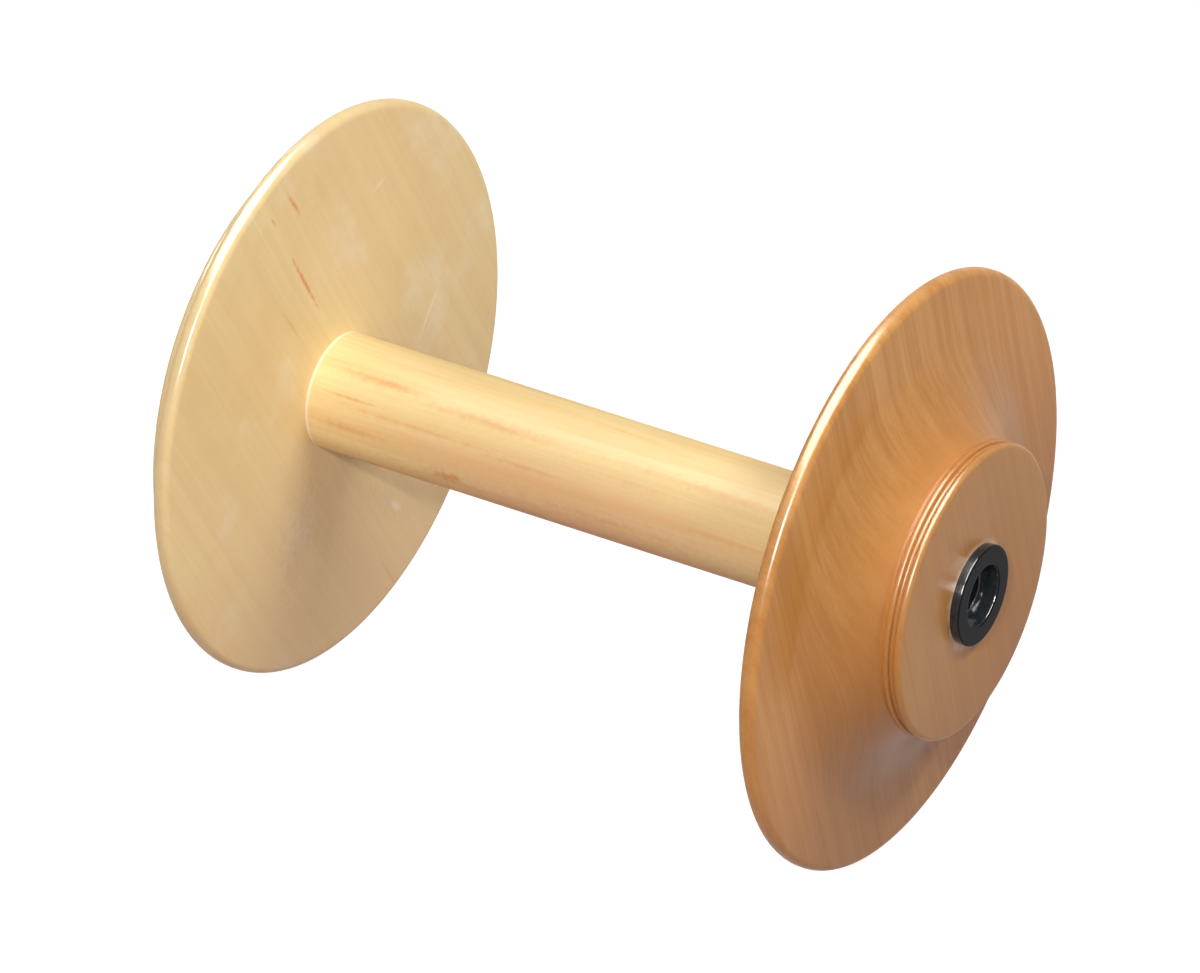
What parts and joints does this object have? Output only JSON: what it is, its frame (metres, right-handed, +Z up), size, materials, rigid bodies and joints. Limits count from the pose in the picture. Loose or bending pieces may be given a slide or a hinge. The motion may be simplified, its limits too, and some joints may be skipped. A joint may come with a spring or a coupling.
{
  "type": "spinning wheel bobbin",
  "caption": "Turned wooden bobbin for a spinning wheel: a barrel between wide flanges, with a grooved whorl on each outer face and black bushings that run on the flyer shaft.",
  "frame": {"origin": "on the spin axis, midway between the outer faces of the two bushings", "axes": "+Y along the spin axis from the brake end to the drive end, +Z up with the bobbin lying on the rims of its flanges"},
  "size_m": [0.127, 0.1676, 0.127],
  "materials": {
    "barrel_wood": "clear gloss lacquer over pale maple",
    "brake_flange_wood": "clear gloss lacquer over honey maple",
    "drive_flange_wood": "clear gloss lacquer over pale maple",
    "bushing_plastic": "black moulded plastic, slightly glossy"
  },
  "bodies": {
    "root": {"barrel": "barrel_wood", "brake_flange": "brake_flange_wood", "drive_flange": "drive_flange_wood", "brake_end_bushing": "bushing_plastic", "drive_end_bushing": "bushing_plastic"}
  },
  "joints": []
}
